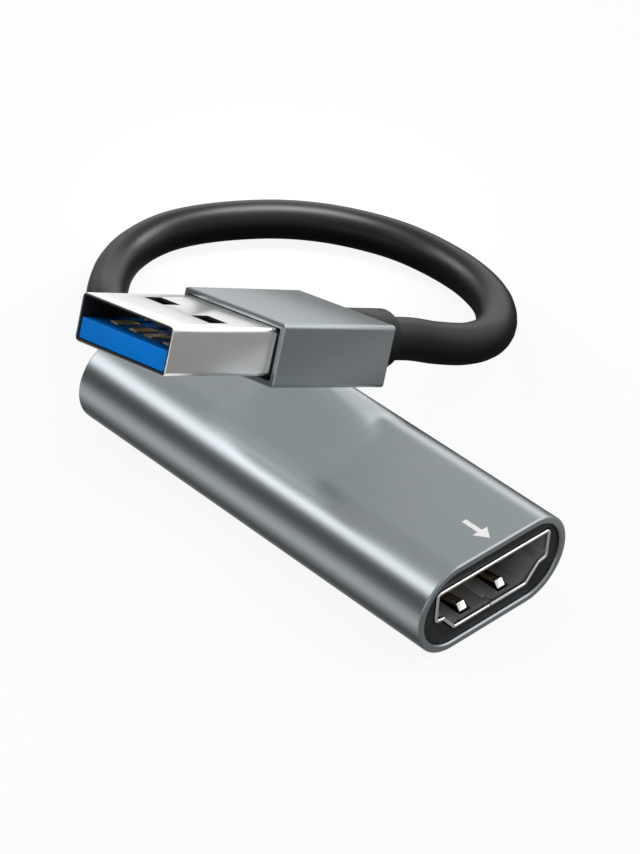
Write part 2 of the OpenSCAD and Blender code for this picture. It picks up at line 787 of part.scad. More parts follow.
// The wires fan out from the cord's end to the tails of the front contacts
module plug_wire(index, tint) {
    z = plug_tongue_top - plug_contact_sink + contact_t + wire_lift + wire_d / 2;
    tail = plug_tongue_l + plug_block_l + plug_tail_l / 4;
    color(tint) in_plug() rod(
        [plug_cord_x - wire_start, (index - 1.5) * wire_pitch_cord, z],
        [tail, plug_contact_y[index], z], wire_d);
}

module plug_wire_red() {
    plug_wire(0, "firebrick");
}

module plug_wire_white() {
    plug_wire(1, "white");
}

module plug_wire_green() {
    plug_wire(2, "seagreen");
}

module plug_wire_black() {
    plug_wire(3, "black");
}

body_sleeve();
front_bezel();
rear_cap();
main_board();
socket_shell();
socket_insulator();
socket_upper_contacts();
socket_lower_contacts();
spring_finger_left();
spring_finger_right();
surge_arrays();
capture_chip();
crystal();
flash_chip();
flash_leads();
regulator();
regulator_leads();
power_inductors();
capacitors();
resistors();
wire_pads();
wire_red();
wire_white();
wire_green();
wire_black();
strain_relief();
cord();
plug_housing();
plug_shell();
plug_insulator();
plug_front_contacts();
plug_rear_contacts();
plug_spacer();
plug_collar();
plug_wire_red();
plug_wire_white();
plug_wire_green();
plug_wire_black();
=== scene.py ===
"""Looks of a video capture stick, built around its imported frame.

Lengths are in millimetres until a mesh is made, apart from the cord's route, which is in metres.
"""

import json
import math

import bmesh
import bpy
from mathutils import Euler, Matrix, Vector


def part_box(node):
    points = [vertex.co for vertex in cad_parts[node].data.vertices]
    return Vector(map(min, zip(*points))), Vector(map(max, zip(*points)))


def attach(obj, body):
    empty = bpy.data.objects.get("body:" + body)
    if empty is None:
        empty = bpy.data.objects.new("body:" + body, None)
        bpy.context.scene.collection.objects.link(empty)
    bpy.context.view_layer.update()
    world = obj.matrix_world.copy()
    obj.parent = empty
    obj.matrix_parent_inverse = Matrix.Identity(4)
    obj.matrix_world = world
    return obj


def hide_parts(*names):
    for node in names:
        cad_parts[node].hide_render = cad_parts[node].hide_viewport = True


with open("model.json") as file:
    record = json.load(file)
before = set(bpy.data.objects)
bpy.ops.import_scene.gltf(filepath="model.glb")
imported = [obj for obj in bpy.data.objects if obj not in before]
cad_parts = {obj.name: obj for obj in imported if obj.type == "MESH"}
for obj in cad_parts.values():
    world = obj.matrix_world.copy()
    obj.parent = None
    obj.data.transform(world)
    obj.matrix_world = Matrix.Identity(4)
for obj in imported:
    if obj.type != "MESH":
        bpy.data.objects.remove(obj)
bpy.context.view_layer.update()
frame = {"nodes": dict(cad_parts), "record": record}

MM = 0.001
BODY = "stick"
EASE_ANGLE = 28  # edges that turn by more degrees than this are rounded


def node_box(node):
    """Lowest and highest corner of a CAD node, in millimetres."""
    low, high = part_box(node)
    return low / MM, high / MM


# Sizes of the pieces that are modelled here

SLEEVE_LOW, SLEEVE_HIGH = node_box("body_sleeve")
SLEEVE_WALL = 0.8
SLEEVE_BEVEL = 0.15
SLEEVE_INNER_BEVEL = 0.15
SLEEVE_EASE = 0.05  # rounding of the bevels' own edges
SLEEVE_ARC_STEPS = 48

ARROW_TIP = (0, -21.9)
ARROW_SIZE = (3.2, 1.9, 1.25, 0.55)  # length, width and length of the head, width of the shaft
INK_THICK = 0.012

SOCKET_LOW, SOCKET_HIGH = node_box("socket_shell")
SOCKET_RIM_ROUND = 0.17
SEAM_WIDTH = 0.17
SEAM_TAB = (0.42, 0.55, 0.75)  # reach of the dovetail, its root and its head along the seam
SEAM_TAB_FROM = 0.75  # from the rim to the dovetail's middle
SEAM_END = 4  # from the seam's end to the shell's rear
CUT_PAST = 1  # how far a cutter reaches past the metal

CONTACT_PITCH = 1.0
CONTACT_WIDTH = 0.45
CONTACT_TIP_ROUND = 0.12

PLUG_TURN = (-12, 22.5, -4)
PLUG_MOUTH = Vector(next(m["pos_m"] for m in frame["record"]["mounts"] if m["name"] == "data_plug"))
PLUG_TILT = Euler([math.radians(a) for a in PLUG_TURN]).to_matrix().to_4x4()
PLUG_TO_FRAME = Matrix.Translation(PLUG_MOUTH) @ PLUG_TILT
PLUG_INNER = (5.85, 2.1)  # half width and half height in the middle of the shell's sheet
WINDOW_AT = (6.95, 3.1)  # middle of a window, behind the mouth and to each side
WINDOW_HALF = (1.08, 1.33)  # half its size, with the rounded edge
PLUG_DROP = 0.15  # the cord enters this far below the middle of the plug's shell
PLUG_CORD_X = (37.8, 33.8, 27.8, 25.8)  # straight run, collar's end, housing's end, cord's end

FILL_DROP = 3.3  # soft lights under the plug, in its own axes
FILLS = [  # ends along the plug, sides across it and glow
    (0.2, 4.5, -6.7, 6, 2.2), (4.5, 7.5, -6.7, 6, 1.4), (7.5, 28, -6.8, 6.4, 0.65), (28, 35, -5.4, 1.7, 1.3),
]
CORD_LIGHT_AT = (31.6, 37.2, 16.8)  # a small light over the back of the cord
CORD_LIGHT_UP = (-0.15, -0.15, 0.977)
CORD_LIGHT_ALONG = (0.741, -0.671, 0)
CORD_LIGHT_SIZE = (12, 7)
CORD_LIGHT_GLOW = 24

CORD_D = 0.0042
CORD_BOX_END = [(0, 0.0182, 0.0047), (0, 0.023, 0.0047), (0, 0.025, 0.0047)]
CORD_FREE = [
    (0.0005, 0.0282, 0.0046), (0.0017, 0.0313, 0.0043), (0.0037, 0.0342, 0.0038), (0.0063, 0.0369, 0.0031),
    (0.0092, 0.0393, 0.0026), (0.0123, 0.041, 0.0023), (0.0156, 0.0418, 0.0022), (0.019, 0.0417, 0.0022),
    (0.0225, 0.0406, 0.0022), (0.0262, 0.0386, 0.0022), (0.0297, 0.036, 0.0022), (0.0326, 0.0328, 0.0022),
    (0.0349, 0.029, 0.0022), (0.0366, 0.0246, 0.0022), (0.0373, 0.0196, 0.0022), (0.0366, 0.0144, 0.0026),
    (0.0345, 0.0097, 0.0033), (0.0312, 0.006, 0.0042), (0.0275, 0.0038, 0.0052), (0.0236, 0.0032, 0.0064),
    (0.0198, 0.0037, 0.0079),
]
CORD_STEPS = 8  # steps of the smooth line between two points of the route

FLOOR_HALF = 2000
FLOOR_DROP = 0.03  # below the sleeve's underside

# Camera: the photograph's view
CAMERA_PLACE = (-162.23, -154.87, 173.87)
CAMERA_TURN = (53.644, -3.176, -44.032)  # degrees about X, Y and Z
CAMERA_SENSOR = 36  # along the frame's long side
CAMERA_LENS = 126.46


# Shader and geometry trees


class Nodes:
    """Adds nodes to one tree."""

    def __init__(self, tree):
        self.tree = tree

    def node(self, kind, settings=None, inputs=None, output=0):
        """A node of that type, with its settings and then its sockets set; returns one of its outputs."""
        node = self.tree.nodes.new(kind)
        for key, value in (settings or {}).items():
            setattr(node, key, value)
        for key, value in (inputs or {}).items():
            for item in value if isinstance(value, list) else [value]:
                self.put(node.inputs[key], item)
        return Value(self, node.outputs[output])

    def put(self, socket, value):
        if isinstance(value, Value):
            self.tree.links.new(value.socket, socket)
        else:
            socket.default_value = value


class Value:
    """A socket that takes part in Python expressions; each operator adds a Math node."""

    def __init__(self, nodes, socket):
        self.nodes = nodes
        self.socket = socket

    def maths(self, operation, *values):
        return self.nodes.node("ShaderNodeMath", {"operation": operation}, dict(enumerate(values)))

    def __add__(self, other):
        return self.maths("ADD", self, other)

    def __sub__(self, other):
        return self.maths("SUBTRACT", self, other)

    def __rsub__(self, other):
        return self.maths("SUBTRACT", other, self)

    def __mul__(self, other):
        return self.maths("MULTIPLY", self, other)

    def __abs__(self):
        return self.maths("ABSOLUTE", self)

    def __gt__(self, other):
        return self.maths("GREATER_THAN", self, other)

    __radd__ = __add__
    __rmul__ = __mul__

    def step(self, low, high):
        """0 below low, 1 above high, smooth between them."""
        settings = {"interpolation_type": "SMOOTHSTEP"}
        inputs = {"Value": self, "From Min": low, "From Max": high}
        return self.nodes.node("ShaderNodeMapRange", settings, inputs)

    def band(self, low, high, edge):
        """1 between low and high, with soft edges."""
        return self.step(low - edge, low + edge) * (1 - self.step(high - edge, high + edge))


class Finish(Nodes):
    """One procedural material on a Principled shader, patterned on Object coordinates."""

    def __init__(self, name, **sockets):
        self.material = bpy.data.materials.new(name)
        self.material.use_nodes = True
        super().__init__(self.material.node_tree)
        self.shader = self.tree.nodes["Principled BSDF"]
        for key, value in sockets.items():
            self.shader.inputs[key.replace("_", " ")].default_value = value

    def place(self, turn=(0, 0, 0), scale=(1, 1, 1), centre=(0, 0, 0)):
        """Object coordinates, moved to a centre in metres, turned by degrees and scaled."""
        inputs = {
            "Vector": self.node("ShaderNodeTexCoord", output="Object"),
            "Location": tuple(centre),
            "Rotation": tuple(math.radians(a) for a in turn),
            "Scale": scale,
        }
        return self.node("ShaderNodeMapping", {"vector_type": "TEXTURE"}, inputs)

    def axis(self, vector, index):
        return self.node("ShaderNodeSeparateXYZ", None, {"Vector": vector}, index)

    def noise(self, place, size, detail=2.0, roughness=0.5):
        """Noise from 0 to 1 with spots of that size, in millimetres."""
        inputs = {"Vector": place, "Scale": 1 / (size * MM), "Detail": detail, "Roughness": roughness}
        return self.node("ShaderNodeTexNoise", None, inputs)

    def cells(self, place, size, feature="F1"):
        inputs = {"Vector": place, "Scale": 1 / (size * MM)}
        return self.node("ShaderNodeTexVoronoi", {"feature": feature}, inputs)

    def mix(self, factor, first, second):
        """Two colours mixed by a factor."""
        ends = {0: factor}
        for key, end in ((6, first), (7, second)):
            ends[key] = end if isinstance(end, Value) else (*end, 1)
        return self.node("ShaderNodeMix", {"data_type": "RGBA"}, ends, 2)

    def colour(self, value):
        self.put(self.shader.inputs["Base Color"], value)

    def roughness(self, value):
        self.put(self.shader.inputs["Roughness"], value)

    def bump(self, height, depth):
        """Raises the surface by a height from 0 to 1 times a depth in millimetres."""
        inputs = {"Strength": 1.0, "Distance": depth * MM, "Height": height}
        self.put(self.shader.inputs["Normal"], self.node("ShaderNodeBump", None, inputs))


# Finishes


def grey_aluminium(name, turn=(0, 0, 0), along=(1, 60, 1)):
    """Satin grey anodised aluminium: fine blasted grain over faint drawing lines along the tube."""
    f = Finish(name, Metallic=0.9)
    grain = f.noise(f.place(), 0.09, 3)
    lines = f.noise(f.place(turn, along), 0.3, 2)
    cloud = f.noise(f.place(), 9, 2)
    f.colour(f.mix(cloud * 0.4 + lines * 0.3 + grain * 0.3, (0.29, 0.322, 0.334), (0.335, 0.37, 0.384)))
    f.roughness(0.25 + lines * 0.02 + grain * 0.05)
    f.bump(grain, 0.0008)
    return f.material


def black_plastic():
    """Moulded black plastic with a fine spark-eroded texture."""
    f = Finish("black_plastic", Specular_IOR_Level=0.3)
    skin = f.noise(f.place(), 0.07, 4, 0.6)
    cloud = f.noise(f.place(), 3, 2)
    f.colour(f.mix(cloud, (0.009, 0.009, 0.0105), (0.016, 0.0165, 0.018)))
    f.roughness(0.42 + skin * 0.16)
    f.bump(skin, 0.006)
    return f.material


def nickel(name, turn=(0, 0, 0), along=(1, 30, 1), satin=0.13, dull_and_shaded=None, grey=0.2):
    """Nickel plate with faint rolling lines; an optional mask makes the plate rougher and paints it darker,
    to the given grey, as painted shade.
    """
    f = Finish(name, Metallic=1.0)
    lines = f.noise(f.place(turn, along), 0.2, 4, 0.6)
    cloud = f.noise(f.place(), 4, 2)
    bright = f.mix(cloud, (0.8, 0.795, 0.785), (0.88, 0.875, 0.86))
    # Where the mask is 1 the plate is rougher and its colour is painted darker, to the grey, as painted
    # shade.
    inside = dull_and_shaded(f) if dull_and_shaded else 0.0
    f.colour(f.mix(inside, bright, (grey, grey, 1.02 * grey)) if dull_and_shaded else bright)
    f.roughness(satin + lines * 0.08 + inside * 0.3)
    f.bump(lines, 0.0006)
    return f.material


def socket_inside(f):
    """1 behind the rim of the video socket, where the plate is rougher and painted grey as the shade inside
    the recess.
    """
    return (f.axis(f.place(), 1) * (1 / MM)).step(SOCKET_LOW.y + 0.25, SOCKET_LOW.y + 0.5)


def plug_inside(f):
    """1 on the inner side of the plug's shell and on the cut edges of its windows, where the plate is
    painted nearly black as shade.
    """
    place = f.place(PLUG_TURN, (MM, MM, MM), PLUG_MOUTH)
    x, y, z = (f.axis(place, k) for k in range(3))
    outer = 1 - (1 - (abs(y) > PLUG_INNER[0])) * (1 - (abs(z) > PLUG_INNER[1]))
    beside = [abs(x - WINDOW_AT[0]) > WINDOW_HALF[0], abs(abs(y) - WINDOW_AT[1]) > WINDOW_HALF[1]]
    return 1 - outer * (1 - (1 - beside[0]) * (1 - beside[1]))


def tinned_lead():
    f = Finish("tinned_lead", Metallic=1.0)
    grain = f.noise(f.place(), 0.12, 3)
    f.colour(f.mix(grain, (0.58, 0.58, 0.57), (0.75, 0.75, 0.73)))
    f.roughness(0.28 + grain * 0.2)
    f.bump(grain, 0.006)
    return f.material


def gold_contact():
    """Thin gold plate, a little paler where it has been rubbed."""
    f = Finish("gold_contact", Metallic=0.6)
    rubbed = f.noise(f.place(), 0.6, 3)
    f.colour(f.mix(rubbed.step(0.45, 0.75), (0.72, 0.53, 0.26), (0.82, 0.68, 0.44)))
    f.roughness(0.3 + rubbed * 0.16)
    f.bump(f.noise(f.place(), 0.08, 2), 0.002)
    return f.material


def blue_plastic():
    """Semi-gloss blue insulator, with painted shade where it lies inside the shell."""
    f = Finish("blue_plastic", Specular_IOR_Level=0.2)
    cloud = f.noise(f.place(), 2.5, 3)
    skin = f.noise(f.place(), 0.09, 3)
    # Painted shade: the colour darkens from 0.1 to 1.6 mm behind the plug's mouth, as if in the shell's
    # shadow.
    shell_shade = f.axis(f.place(PLUG_TURN, (MM, MM, MM), PLUG_MOUTH), 0).step(0.1, 1.6)
    blue = f.mix(cloud, (0.0, 0.205, 0.74), (0.0, 0.245, 0.88))
    f.colour(f.mix(shell_shade * 0.65, blue, (0.0, 0.03, 0.1)))
    f.roughness(0.3 + skin * 0.12)
    f.bump(skin, 0.003)
    return f.material


def cord_jacket():
    """Satin black jacket with a fine matt skin and a faint unevenness along it."""
    f = Finish("cord_jacket", Specular_IOR_Level=0.2)
    skin = f.noise(f.place(), 0.1, 4, 0.6)
    cloud = f.noise(f.place(), 5, 3)
    f.colour(f.mix(cloud, (0.006, 0.006, 0.0065), (0.01, 0.01, 0.0105)))
    f.roughness(0.3 + cloud * 0.06 + skin * 0.06)
    f.bump(skin * 0.4 + cloud * 0.6, 0.008)
    return f.material


def board_laminate():
    """Green solder mask over copper tracks on the two faces, bare laminate at the edges."""
    f = Finish("board_laminate", Specular_IOR_Level=0.5)
    place = f.place()
    face = abs(f.axis(f.node("ShaderNodeNewGeometry", output="Normal"), 2)) > 0.5
    tracks = f.cells(place, 1.1, "DISTANCE_TO_EDGE").step(0.04, 0.07)
    holes = 1 - f.cells(place, 1.7).step(0.1, 0.13)
    mask = f.mix(tracks, (0.025, 0.2, 0.08), (0.008, 0.095, 0.04))
    copper = f.mix(holes, mask, (0.75, 0.6, 0.35))
    f.colour(f.mix(face, (0.35, 0.31, 0.17), copper))
    f.roughness(0.5 - face * 0.18 + f.noise(place, 0.2) * 0.1)
    f.bump(tracks, 0.02)
    return f.material


def chip_resin():
    """Matt black moulding compound."""
    f = Finish("chip_resin", Specular_IOR_Level=0.35)
    grain = f.noise(f.place(), 0.06, 4, 0.65)
    f.colour(f.mix(grain, (0.008, 0.008, 0.009), (0.022, 0.022, 0.024)))
    f.roughness(0.55 + grain * 0.2)
    f.bump(grain, 0.008)
    return f.material


def ferrite():
    """Sintered ferrite with pores and pale flecks."""
    f = Finish("ferrite", Metallic=0.2)
    flecks = f.noise(f.place(), 0.12, 5, 0.7)
    f.colour(f.mix(flecks.step(0.5, 0.75), (0.035, 0.035, 0.04), (0.11, 0.11, 0.115)))
    f.roughness(0.5 + flecks * 0.25)
    f.bump(flecks, 0.02)
    return f.material


def ceramic():
    f = Finish("ceramic")
    grain = f.noise(f.place(), 0.08, 4)
    f.colour(f.mix(grain, (0.38, 0.25, 0.14), (0.5, 0.34, 0.2)))
    f.roughness(0.4 + grain * 0.2)
    f.bump(grain, 0.004)
    return f.material


def wire_skin(name, colour):
    """Satin wire insulation, a little uneven."""
    f = Finish(name)
    cloud = f.noise(f.place(), 0.8, 3)
    f.colour(f.mix(cloud, [0.8 * c for c in colour], colour))
    f.roughness(0.35 + cloud * 0.12)
    f.bump(cloud, 0.01)
    return f.material


def white_ink():
    """Thin white print, slightly uneven at the scale of the blasted metal below it."""
    f = Finish("white_ink", Specular_IOR_Level=0.4)
    grain = f.noise(f.place(), 0.1, 3)
    f.colour(f.mix(grain, (0.8, 0.8, 0.8), (0.9, 0.9, 0.9)))
    f.roughness(0.45 + grain * 0.1)
    f.bump(grain, 0.003)
    return f.material


ALUMINIUM = grey_aluminium("grey_aluminium")
PLUG_ALUMINIUM = grey_aluminium("grey_aluminium_plug", PLUG_TURN, (40, 1, 1))
NICKEL = nickel("nickel")
# Socket plate: rougher behind the rim, and painted grey there as the shade inside the socket.
SOCKET_NICKEL = nickel("nickel_socket", dull_and_shaded=socket_inside, grey=0.62)
# Plug plate: painted nearly black on the shell's inner side and the windows' cut edges, as painted shade.
PLUG_NICKEL = nickel("nickel_plug", PLUG_TURN, (30, 1, 1), 0.2, plug_inside, 0.05)
PLASTIC = black_plastic()
GOLD = gold_contact()
BLUE = blue_plastic()
JACKET = cord_jacket()
TIN = tinned_lead()
RESIN = chip_resin()
CERAMIC = ceramic()
INK = white_ink()


# Mesh tools


def add(name, mesh):
    """A new object at the origin."""
    piece = bpy.data.objects.new(name, mesh)
    bpy.context.scene.collection.objects.link(piece)
    return piece


def mesh_of(name, points, faces):
    """A mesh of points in millimetres, with its faces turned outwards."""
    mesh = bpy.data.meshes.new(name)
    mesh.from_pydata([Vector(p) * MM for p in points], [], faces)
    bm = bmesh.new()
    bm.from_mesh(mesh)
    bmesh.ops.recalc_face_normals(bm, faces=bm.faces)
    bm.to_mesh(mesh)
    bm.free()
    return mesh


def settle(piece):
    """Turns a piece with modifiers into a plain mesh."""
    bpy.context.view_layer.update()
    evaluated = piece.evaluated_get(bpy.context.evaluated_depsgraph_get())
    mesh = bpy.data.meshes.new_from_object(evaluated)
    piece.modifiers.clear()
    piece.data = mesh
    return piece


def eased(piece, width, segments=2):
    """Rounds a piece's edges by a width in millimetres and shades it smooth."""
    for face in piece.data.polygons:
        face.use_smooth = True
    bevel = piece.modifiers.new("eased edges", "BEVEL")
    bevel.width = width * MM
    bevel.segments = segments
    bevel.limit_method = "ANGLE"
    bevel.angle_limit = math.radians(EASE_ANGLE)
    bevel.harden_normals = True
    return settle(piece)


def merged_copy(node, name):
    """A copy of a CAD node with its loose triangles joined into whole faces."""
    mesh = frame["nodes"][node].data.copy()
    mesh.name = name
    bm = bmesh.new()
    bm.from_mesh(mesh)
    bmesh.ops.remove_doubles(bm, verts=bm.verts, dist=0.001 * MM)
    bmesh.ops.dissolve_limit(bm, angle_limit=math.radians(0.5), verts=bm.verts, edges=bm.edges)
    bm.to_mesh(mesh)
    bm.free()
    return add(name, mesh)


def dress(piece, material, slot, *nodes, body=BODY):
    """Gives a finished piece its material and body, and hides the CAD nodes that it stands for; the slot is
    not used.
    """
    if material:
        piece.data.materials.clear()
        piece.data.materials.append(material)
    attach(piece, body)
    if nodes:
        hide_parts(*nodes)
    return piece


def refined(node, name, width, material, slot, body=BODY, segments=2):
    """A CAD node with eased edges, standing for that node."""
    return dress(eased(merged_copy(node, name), width, segments), material, slot, node, body=body)


def cut(piece, cutter):
    """Takes the cutter's space out of a piece."""
    hole = piece.modifiers.new("cut", "BOOLEAN")
    hole.operation = "DIFFERENCE"
    hole.solver = "EXACT"
    hole.object = cutter
    settle(piece)
    bpy.data.objects.remove(cutter)
    return piece


def prism(name, outline, low, high):
    """A solid with a flat outline of X and Y between two heights."""
    n = len(outline)
    points = [(x, y, z) for z in (low, high) for x, y in outline]
    sides = [(i, (i + 1) % n, n + (i + 1) % n, n + i) for i in range(n)]
    return mesh_of(name, points, [list(range(n))[::-1], [n + i for i in range(n)], *sides])


# Sleeve


def stadium(half_flat, radius):
    """Points of an outline with half-round sides, about the origin."""
    points = []
    for side, start in ((1, -90), (-1, 90)):
        for k in range(SLEEVE_ARC_STEPS + 1):
            a = math.radians(start + 180 * k / SLEEVE_ARC_STEPS)
            points.append((side * half_flat + radius * math.cos(a), radius * math.sin(a)))
    return points


def make_sleeve():
    """The extruded tube: every station along its wall, out and back, carries one ring."""
    front, rear = SLEEVE_LOW.y, SLEEVE_HIGH.y
    radius = (SLEEVE_HIGH.z - SLEEVE_LOW.z) / 2
    half_flat = (SLEEVE_HIGH.x - SLEEVE_LOW.x) / 2 - radius
    outer, inner, wall = SLEEVE_BEVEL, SLEEVE_INNER_BEVEL, SLEEVE_WALL
    stations = [
        (front, outer), (front + outer, 0), (rear - outer, 0), (rear, outer),
        (rear, wall - inner), (rear - inner, wall), (front + inner, wall), (front, wall - inner),
    ]
    rings = [[(x, y, radius + z) for x, z in stadium(half_flat, radius - inset)] for y, inset in stations]
    n = len(rings[0])
    faces = []
    for i in range(len(rings)):
        below, above = i * n, (i + 1) % len(rings) * n
        faces += [(below + k, below + (k + 1) % n, above + (k + 1) % n, above + k) for k in range(n)]
    mesh = mesh_of("sleeve", [p for ring in rings for p in ring], faces)
    sleeve = eased(add("sleeve", mesh), SLEEVE_EASE, 3)
    dress(sleeve, ALUMINIUM, "grey_aluminium", "body_sleeve")


def make_arrow():
    """A printed arrow on the top that points into the socket."""
    x, y = ARROW_TIP
    length, width, head, shaft = ARROW_SIZE
    half = [(0, 0), (width / 2, head), (shaft / 2, head), (shaft / 2, length)]
    outline = [(x + a, y + b) for a, b in half] + [(x - a, y + b) for a, b in half[:0:-1]]
    arrow = add("arrow_mark", prism("arrow_mark", outline, SLEEVE_HIGH.z, SLEEVE_HIGH.z + INK_THICK))
    dress(arrow, INK, "wire_white")


# Video socket


def seam_cutter():
    """A thin upright blade along the dovetailed seam in the middle of the socket's floor."""
    reach, root, head = SEAM_TAB
    middle = SOCKET_LOW.y + SEAM_TAB_FROM
    line = [
        (0, SOCKET_LOW.y - CUT_PAST), (0, middle - root / 2), (reach, middle - head / 2),
        (reach, middle + head / 2), (0, middle + root / 2), (0, SOCKET_HIGH.y - SEAM_END),
    ]
    sides = []
    for side in (-1, 1):
        edge = []
        for i, point in enumerate(line):
            before = Vector(line[max(i - 1, 0)])
            after = Vector(line[min(i + 1, len(line) - 1)])
            ways = [w.normalized() for w in (Vector(point) - before, after - Vector(point)) if w.length > 0]
            across = sum((Vector((-w.y, w.x)) for w in ways), Vector((0, 0))).normalized()
            edge.append(Vector(point) + across * side * SEAM_WIDTH / 2)
        sides.append(edge)
    outline = [tuple(p) for p in sides[0] + sides[1][::-1]]
    middle_z = (SOCKET_LOW.z + SOCKET_HIGH.z) / 2
    return add("seam_cutter", prism("seam_cutter", outline, SOCKET_LOW.z - CUT_PAST, middle_z))


def rounded_rim(piece, width, segments):
    """Rounds the two edges of the socket's front rim, apart from the ends of the seam."""
    bm = bmesh.new()
    bm.from_mesh(piece.data)
    front = (SOCKET_LOW.y + 0.001) * MM
    rim = [
        e for e in bm.edges
        if e.calc_face_angle(0) > 1 and all(v.co.y < front for v in e.verts)
        and any(abs(v.co.x) > SEAM_WIDTH * MM for v in e.verts)
    ]
    bmesh.ops.bevel(bm, geom=rim, offset=width * MM, segments=segments, profile=0.5, affect="EDGES")
    bm.to_mesh(piece.data)
    bm.free()
    return piece


def make_socket():
    shell = cut(merged_copy("socket_shell", "socket_shell_formed"), seam_cutter())
    shell = eased(rounded_rim(shell, SOCKET_RIM_ROUND, 5), 0.03)
    dress(shell, SOCKET_NICKEL, "nickel_steel", "socket_shell")
    refined("socket_insulator", "socket_tongue", 0.06, PLASTIC, "black_plastic")
    for side in ("left", "right"):
        node, body = "spring_finger_" + side, "finger_" + side
        refined(node, "finger_spring_" + side, 0.08, NICKEL, "nickel_steel", body)


# Rows of contacts


class Growth(Nodes):
    """A Geometry Nodes tree with named inputs."""

    def __init__(self, name, **inputs):
        super().__init__(bpy.data.node_groups.new(name, "GeometryNodeTree"))
        self.tree.interface.new_socket("Geometry", in_out="OUTPUT", socket_type="NodeSocketGeometry")
        self.tree.interface.new_socket("Geometry", in_out="INPUT", socket_type="NodeSocketGeometry")
        self.names = {}
        for key, kind in inputs.items():
            item = self.tree.interface.new_socket(key, in_out="INPUT", socket_type="NodeSocket" + kind)
            self.names[key] = item.identifier
        self.group = self.tree.nodes.new("NodeGroupInput")

    def given(self, key):
        return Value(self, self.group.outputs[key])

    def result(self, geometry):
        end = self.tree.nodes.new("NodeGroupOutput")
        self.put(end.inputs[0], geometry)

    def grow(self, name, **values):
        """A plain mesh from the tree."""
        piece = add(name, bpy.data.meshes.new(name))
        modifier = piece.modifiers.new("growth", "NODES")
        modifier.node_group = self.tree
        for key, value in values.items():
            modifier[self.names[key]] = value
        return settle(piece)


def contact_row_tree():
    """Flat strips with rounded ends, side by side along X; each strip's front is at its own start."""
    t = Growth("contact row", Count="Int", Pitch="Float", Length="Float", Width="Float", Thickness="Float",
               Tip="Float", Start="Vector", Metal="Material")
    frame_curve = t.node("GeometryNodeCurvePrimitiveQuadrilateral", None,
                         {"Width": t.given("Width"), "Height": t.given("Length")})
    round_curve = t.node("GeometryNodeFilletCurve", {"mode": "POLY"},
                         {"Curve": frame_curve, "Count": 4, "Radius": t.given("Tip"), "Limit Radius": True})
    floor = t.node("GeometryNodeFillCurve", {"mode": "NGONS"}, {"Curve": round_curve})
    walls = t.node("GeometryNodeExtrudeMesh", None, {
        "Mesh": floor, "Offset Scale": t.given("Thickness"), "Individual": False})
    underside = t.node("GeometryNodeFlipFaces", None, {"Mesh": floor})
    both = t.node("GeometryNodeJoinGeometry", None, {"Geometry": [walls, underside]})
    strip = t.node("GeometryNodeMergeByDistance", None, {"Geometry": both, "Distance": 0.001 * MM})
    step = t.node("ShaderNodeCombineXYZ", None, {"X": t.given("Pitch")})
    line = t.node("GeometryNodeMeshLine", {"mode": "OFFSET"},
                  {"Count": t.given("Count"), "Start Location": t.given("Start"), "Offset": step})
    row = t.node("GeometryNodeInstanceOnPoints", None, {"Points": line, "Instance": strip})
    whole = t.node("GeometryNodeRealizeInstances", None, {"Geometry": row})
    t.result(t.node("GeometryNodeSetMaterial", None, {"Geometry": whole, "Material": t.given("Metal")}))
    return t


def make_socket_contacts():
    tree = contact_row_tree()
    for level in ("upper", "lower"):
        node = f"socket_{level}_contacts"
        low, high = node_box(node)
        count = round((high.x - low.x - CONTACT_WIDTH) / CONTACT_PITCH) + 1
        row = tree.grow(
            f"contact_row_{level}", Count=count, Pitch=CONTACT_PITCH * MM, Length=(high.y - low.y) * MM,
            Width=CONTACT_WIDTH * MM, Thickness=(high.z - low.z) * MM, Tip=CONTACT_TIP_ROUND * MM,
            Start=Vector((low.x + CONTACT_WIDTH / 2, (low.y + high.y) / 2, low.z)) * MM, Metal=GOLD)
        dress(row, None, "gold_contact", node)


# Plug and cord


def smooth_line(points, steps):
    """Cubic arcs through the points; each point's direction comes from its neighbours."""
    line = []
    last = len(points) - 1
    for i in range(last):
        a, b = points[i], points[i + 1]
        from_way = (b - points[max(i - 1, 0)]) / 2
        to_way = (points[min(i + 2, last)] - a) / 2
        for k in range(steps):
            s = k / steps
            rest = 1 - s
            line.append(
                a * rest * rest * (1 + 2 * s) + b * s * s * (3 - 2 * s)
                + from_way * s * rest * rest - to_way * s * s * rest)
    return line + [points[-1]]


def make_plug():
    """The plug's pieces; returns those that show."""
    return [
        refined("plug_housing", "plug_cover", 0.07, PLUG_ALUMINIUM, "grey_aluminium", segments=3),
        refined("plug_shell", "plug_shell_formed", 0.06, PLUG_NICKEL, "nickel_steel"),
        refined("plug_insulator", "plug_tongue", 0.09, BLUE, "blue_plastic", segments=3),
        refined("plug_front_contacts", "plug_pads", 0.03, GOLD, "gold_contact"),
        refined("plug_rear_contacts", "plug_springs", 0.03, GOLD, "gold_contact"),
        refined("plug_collar", "cord_collar", 0.12, JACKET, "cord_jacket", segments=3),
    ]


def make_cord(pieces):
    plug_end = [PLUG_TO_FRAME @ (Vector((x, 0, -PLUG_DROP)) * MM) for x in PLUG_CORD_X]
    route = [Vector(p) for p in CORD_BOX_END + CORD_FREE] + plug_end
    curve = bpy.data.curves.new("cord_line", "CURVE")
    curve.dimensions = "3D"
    curve.bevel_depth = CORD_D / 2
    curve.bevel_resolution = 10
    curve.use_fill_caps = True
    line = smooth_line(route, CORD_STEPS)
    spline = curve.splines.new("POLY")
    spline.points.add(len(line) - 1)
    for point, place in zip(spline.points, line):
        point.co = (*place, 1)
    cord = dress(add("cord_lead", curve), JACKET, "cord_jacket", "cord")


# Board


